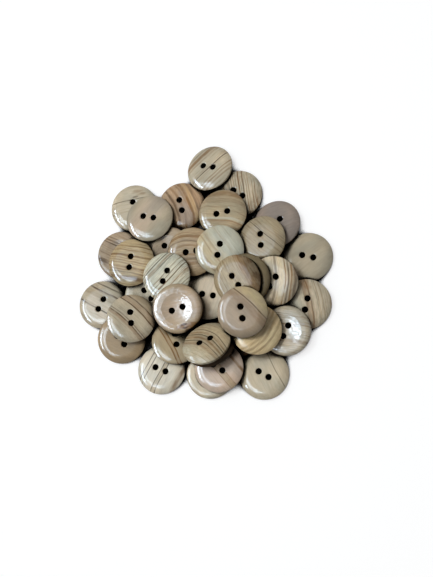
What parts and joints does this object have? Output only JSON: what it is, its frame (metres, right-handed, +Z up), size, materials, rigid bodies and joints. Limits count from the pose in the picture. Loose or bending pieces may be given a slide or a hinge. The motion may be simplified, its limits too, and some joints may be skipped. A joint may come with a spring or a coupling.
{
  "type": "heap of wooden buttons",
  "caption": "Loose heap of round wooden sew-through buttons, each turned with a crowned back, a shallow dish and thread holes, in veined hardwood under clear lacquer.",
  "frame": {"origin": "on the table, under the middle of the heap's box", "axes": "+Z up from the table, +Y towards the top of the picture, +X towards its right"},
  "size_m": [0.1072, 0.1064, 0.023],
  "materials": {
    "pale_wood": "clear gloss lacquer over pale sapwood",
    "tan_wood": "clear gloss lacquer over tan veined wood",
    "brown_wood": "clear gloss lacquer over brown heartwood"
  },
  "bodies": {
    "root": {"button_01": "tan_wood", "button_02": "brown_wood", "button_03": "tan_wood", "button_04": "brown_wood", "button_05": "brown_wood", "button_06": "pale_wood", "button_07": "brown_wood", "button_08": "tan_wood", "button_09": "pale_wood", "button_10": "pale_wood", "button_11": "tan_wood", "button_12": "pale_wood", "button_13": "tan_wood", "button_14": "pale_wood", "button_15": "tan_wood", "button_16": "tan_wood", "button_17": "tan_wood", "button_18": "tan_wood", "button_19": "brown_wood", "button_20": "brown_wood", "button_21": "brown_wood", "button_22": "tan_wood", "button_23": "brown_wood", "button_24": "tan_wood", "button_25": "pale_wood", "button_26": "tan_wood", "button_27": "tan_wood", "button_28": "pale_wood", "button_29": "tan_wood", "button_30": "tan_wood", "button_31": "pale_wood", "button_32": "pale_wood", "button_33": "brown_wood", "button_34": "tan_wood", "button_35": "brown_wood", "button_36": "tan_wood", "button_37": "tan_wood", "button_38": "tan_wood", "button_39": "tan_wood"}
  },
  "joints": []
}
